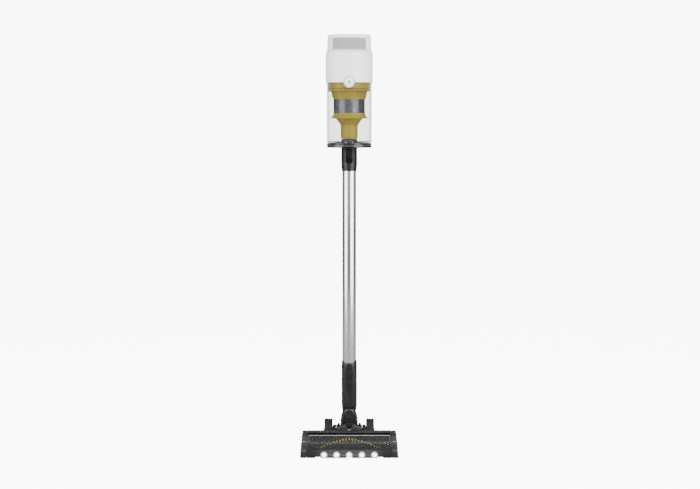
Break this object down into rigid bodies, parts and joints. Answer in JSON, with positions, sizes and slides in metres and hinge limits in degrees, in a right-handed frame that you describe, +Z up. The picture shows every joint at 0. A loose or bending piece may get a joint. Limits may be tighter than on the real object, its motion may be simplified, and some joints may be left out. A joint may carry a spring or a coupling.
{
  "type": "cordless stick vacuum",
  "caption": "Upright cordless stick vacuum with clear dust bin and cyclone, straight metal wand, and tilting, swivelling floor head with lit brush roller.",
  "frame": {"origin": "floor point under the axis of the wand, with the cleaner standing upright", "axes": "+Z up along the wand, -Y to the front of the floor head, +X to the right seen from the front"},
  "size_m": [0.25, 0.2536, 1.07],
  "materials": {
    "head_shell": "satin",
    "black_plastic": "satin",
    "smoked_window": "gloss",
    "led_lens": "gloss",
    "circuit_board": "satin",
    "bristle": "matte",
    "roller_core": "satin",
    "steel": "satin",
    "motor_shell": "satin",
    "pulley_plastic": "satin",
    "belt_rubber": "matte",
    "tyre_rubber": "matte",
    "wheel_hub": "satin",
    "barrel_grey": "satin",
    "wand_aluminium": "satin",
    "clear_bin": "gloss",
    "grey_plastic": "satin",
    "cyclone_yellow": "gloss",
    "filter_mesh": "satin",
    "seal_rubber": "matte",
    "filter_foam": "matte",
    "white_housing": "satin",
    "filter_paper": "matte",
    "white_button": "gloss",
    "cell_wrap": "satin"
  },
  "bodies": {
    "head": {"head_base": "black_plastic", "head_top_cover": "head_shell", "brush_window": "smoked_window", "end_cap_left": "head_shell", "end_cap_right": "head_shell", "front_bumper": "black_plastic", "led_board": "circuit_board", "led_lenses": "led_lens", "brush_bearings": "steel", "brush_motor": "motor_shell", "drive_belt": "belt_rubber", "rear_frame": "head_shell", "head_screws": "steel", "wheel_axles": "steel"},
    "brush": {"brush_core": "roller_core", "brush_tufts": "bristle", "brush_pulley": "pulley_plastic"},
    "motor_pulley": {"motor_pulley": "pulley_plastic"},
    "wheel_left": {"rear_wheel_left": "wheel_hub", "rear_tyre_left": "tyre_rubber"},
    "wheel_right": {"rear_wheel_right": "wheel_hub", "rear_tyre_right": "tyre_rubber"},
    "roller_left": {"front_roller_left": "wheel_hub"},
    "roller_right": {"front_roller_right": "wheel_hub"},
    "neck": {"tilt_barrel": "barrel_grey", "tilt_pins": "steel", "neck_fork": "black_plastic", "swivel_pins": "black_plastic"},
    "sleeve": {"lower_sleeve": "black_plastic", "sleeve_front_panel": "black_plastic"},
    "sleeve_button": {"sleeve_button": "black_plastic"},
    "wand": {"wand_tube": "wand_aluminium", "cable_duct": "grey_plastic", "upper_connector": "black_plastic"},
    "upper_button": {"upper_button": "black_plastic"},
    "bin": {"bin_cup": "clear_bin", "bin_base": "black_plastic", "inlet_pipe": "black_plastic", "bin_base_domes": "grey_plastic"},
    "flap": {"inlet_flap": "seal_rubber"},
    "cyclone": {"cyclone_drum": "cyclone_yellow", "cyclone_mesh": "filter_mesh", "cyclone_skirt": "cyclone_yellow", "cyclone_seal": "seal_rubber"},
    "prefilter": {"prefilter_foam": "filter_foam"},
    "handheld": {"main_housing": "white_housing", "motor_can": "motor_shell", "handle_shell_left": "white_housing", "handle_shell_right": "white_housing", "handle_screws": "steel", "control_board": "circuit_board"},
    "impeller": {"impeller": "motor_shell"},
    "cap": {"exhaust_cap": "white_housing", "exhaust_filter": "filter_paper"},
    "bin_release": {"bin_release_button": "white_button"},
    "trigger": {"trigger": "black_plastic"},
    "mode_button": {"mode_button": "black_plastic"},
    "battery": {"battery_case": "black_plastic", "battery_cells": "cell_wrap"},
    "battery_latch": {"battery_latch": "grey_plastic"}
  },
  "joints": [
    {"name": "tilt", "type": "hinge", "parent": "head", "child": "neck", "pos_m": [0, 0, 0.032], "axis": [-1, 0, 0], "range_deg": [0, 75]},
    {"name": "swivel", "type": "hinge", "parent": "neck", "child": "sleeve", "pos_m": [0, 0, 0.095], "axis": [0, 1, 0], "range_deg": [-38, 38]},
    {"name": "wand_lift", "type": "slide", "parent": "sleeve", "child": "wand", "axis": [0, 0, 1], "range_m": [0, 0.065]},
    {"name": "unit_lift", "type": "slide", "parent": "wand", "child": "bin", "axis": [0, 0, 1], "range_m": [0, 0.042]},
    {"name": "cyclone_lift", "type": "slide", "parent": "bin", "child": "cyclone", "axis": [0, 0, 1], "range_m": [0, 0.145]},
    {"name": "prefilter_lift", "type": "slide", "parent": "cyclone", "child": "prefilter", "axis": [0, 0, 1], "range_m": [0, 0.02]},
    {"name": "motor_unit_lift", "type": "slide", "parent": "prefilter", "child": "handheld", "axis": [0, 0, 1], "range_m": [0, 0.03]},
    {"name": "cap_lift", "type": "slide", "parent": "handheld", "child": "cap", "axis": [0, 0, 1], "range_m": [0, 0.05]},
    {"name": "brush_spin", "type": "hinge", "parent": "head", "child": "brush", "pos_m": [0, -0.072, 0.025], "axis": [1, 0, 0], "continuous": true},
    {"name": "motor_pulley_spin", "type": "hinge", "parent": "head", "child": "motor_pulley", "pos_m": [0, -0.029, 0.021], "axis": [1, 0, 0], "continuous": true},
    {"name": "wheel_left_spin", "type": "hinge", "parent": "head", "child": "wheel_left", "pos_m": [-0.055, 0.05, 0.033], "axis": [1, 0, 0], "continuous": true},
    {"name": "wheel_right_spin", "type": "hinge", "parent": "head", "child": "wheel_right", "pos_m": [0.055, 0.05, 0.033], "axis": [1, 0, 0], "continuous": true},
    {"name": "roller_left_spin", "type": "hinge", "parent": "head", "child": "roller_left", "pos_m": [-0.118, -0.098, 0.0045], "axis": [1, 0, 0], "continuous": true},
    {"name": "roller_right_spin", "type": "hinge", "parent": "head", "child": "roller_right", "pos_m": [0.118, -0.098, 0.0045], "axis": [1, 0, 0], "continuous": true},
    {"name": "flap_lift", "type": "hinge", "parent": "bin", "child": "flap", "pos_m": [0, 0.01525, 0.79105], "axis": [-1, 0, 0], "range_deg": [0, 60]},
    {"name": "sleeve_button_press", "type": "slide", "parent": "sleeve", "child": "sleeve_button", "axis": [0, 1, 0], "range_m": [0, 0.0015], "stiffness_N_per_m": 600, "springref_m": -0.001},
    {"name": "upper_button_press", "type": "slide", "parent": "wand", "child": "upper_button", "axis": [0, 1, 0], "range_m": [0, 0.0015], "stiffness_N_per_m": 600, "springref_m": -0.001},
    {"name": "bin_release_press", "type": "slide", "parent": "handheld", "child": "bin_release", "axis": [0, 1, 0], "range_m": [0, 0.0015], "stiffness_N_per_m": 600, "springref_m": -0.001},
    {"name": "trigger_pull", "type": "slide", "parent": "handheld", "child": "trigger", "axis": [0, 1, 0], "range_m": [0, 0.004], "stiffness_N_per_m": 500, "springref_m": -0.001},
    {"name": "mode_button_press", "type": "slide", "parent": "handheld", "child": "mode_button", "axis": [0, 0, -1], "range_m": [0, 0.0012], "stiffness_N_per_m": 600, "springref_m": -0.001},
    {"name": "battery_slide", "type": "slide", "parent": "handheld", "child": "battery", "axis": [0, 0, -1], "range_m": [0, 0.04]},
    {"name": "battery_latch_press", "type": "slide", "parent": "battery", "child": "battery_latch", "axis": [0, -1, 0], "range_m": [0, 0.0015], "stiffness_N_per_m": 600, "springref_m": -0.001},
    {"name": "impeller_spin", "type": "hinge", "parent": "handheld", "child": "impeller", "pos_m": [0, 0, 0.99], "axis": [0, 0, 1], "continuous": true}
  ],
  "couplings": [
    {"joint": "motor_pulley_spin", "follows": "brush_spin", "ratio": 2}
  ]
}
